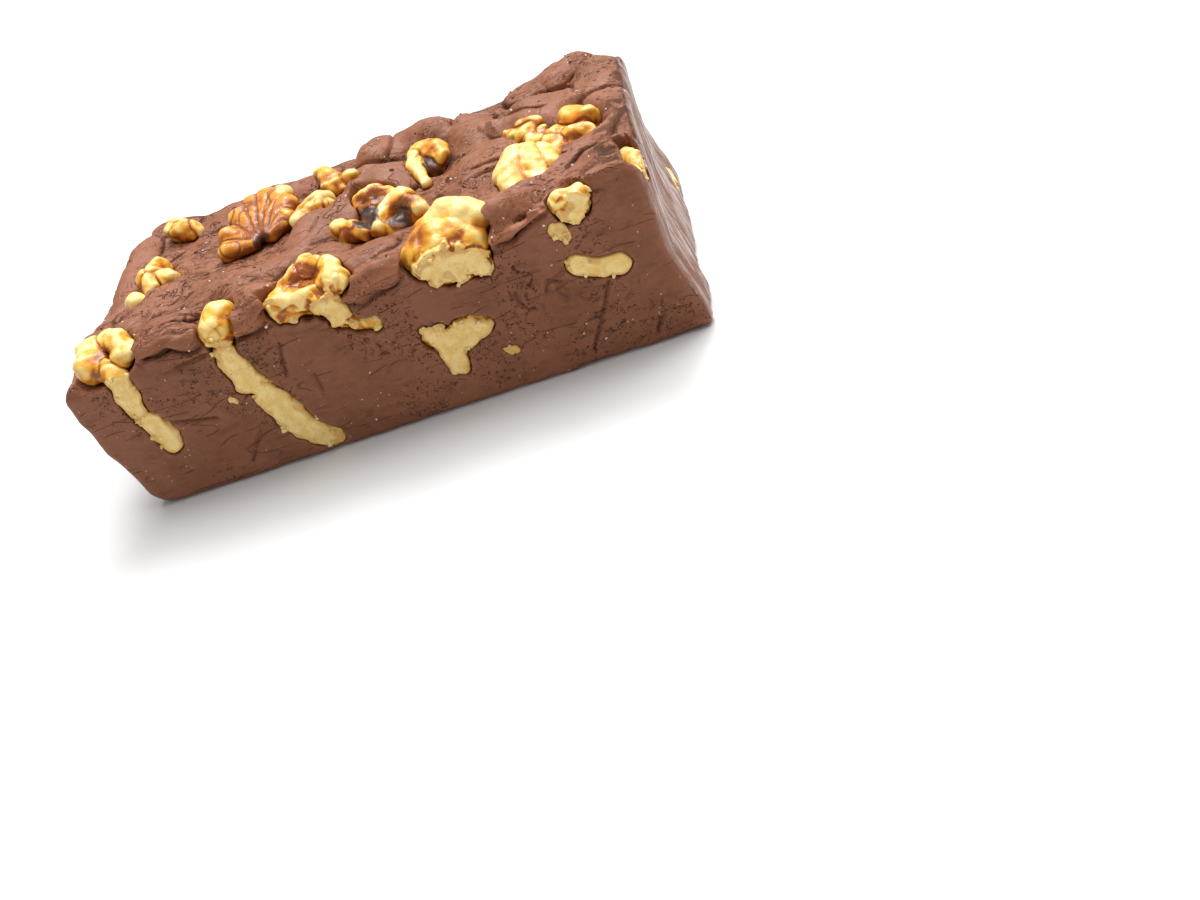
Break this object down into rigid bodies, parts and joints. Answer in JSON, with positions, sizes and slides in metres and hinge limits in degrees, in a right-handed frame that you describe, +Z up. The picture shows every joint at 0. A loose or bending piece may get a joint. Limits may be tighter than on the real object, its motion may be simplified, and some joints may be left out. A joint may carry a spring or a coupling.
{
  "type": "chocolate walnut fudge bar",
  "caption": "Thick bar of chocolate fudge with a folded, lumpy top and walnut pieces set into its top and showing in its flat cut sides.",
  "frame": {"origin": "middle of the flat underside, on the surface the bar rests on", "axes": "+X along the bar towards its cut end, -Y towards the front cut face, +Z up"},
  "size_m": [0.136, 0.0715, 0.0433],
  "materials": {
    "fudge": "dense satin chocolate fudge",
    "walnut": "waxy walnut kernel, cream where cut"
  },
  "bodies": {
    "root": {"fudge": "fudge", "walnut_front_corner": "walnut", "walnut_front_strip": "walnut", "walnut_front_open": "walnut", "walnut_front_big": "walnut", "walnut_front_square": "walnut", "walnut_front_grey": "walnut", "walnut_front_bean": "walnut", "walnut_front_wedge": "walnut", "walnut_front_crumb": "walnut", "walnut_front_fleck": "walnut", "walnut_top_back_left": "walnut", "walnut_top_left": "walnut", "walnut_top_pea": "walnut", "walnut_top_half": "walnut", "walnut_top_slice": "walnut", "walnut_top_back_mid": "walnut", "walnut_top_dark": "walnut", "walnut_top_ring": "walnut", "walnut_top_cluster": "walnut", "walnut_top_yellow": "walnut", "walnut_end_top": "walnut", "walnut_end_low": "walnut", "walnut_back_1": "walnut", "walnut_back_2": "walnut", "walnut_back_3": "walnut", "walnut_back_4": "walnut"}
  },
  "joints": []
}
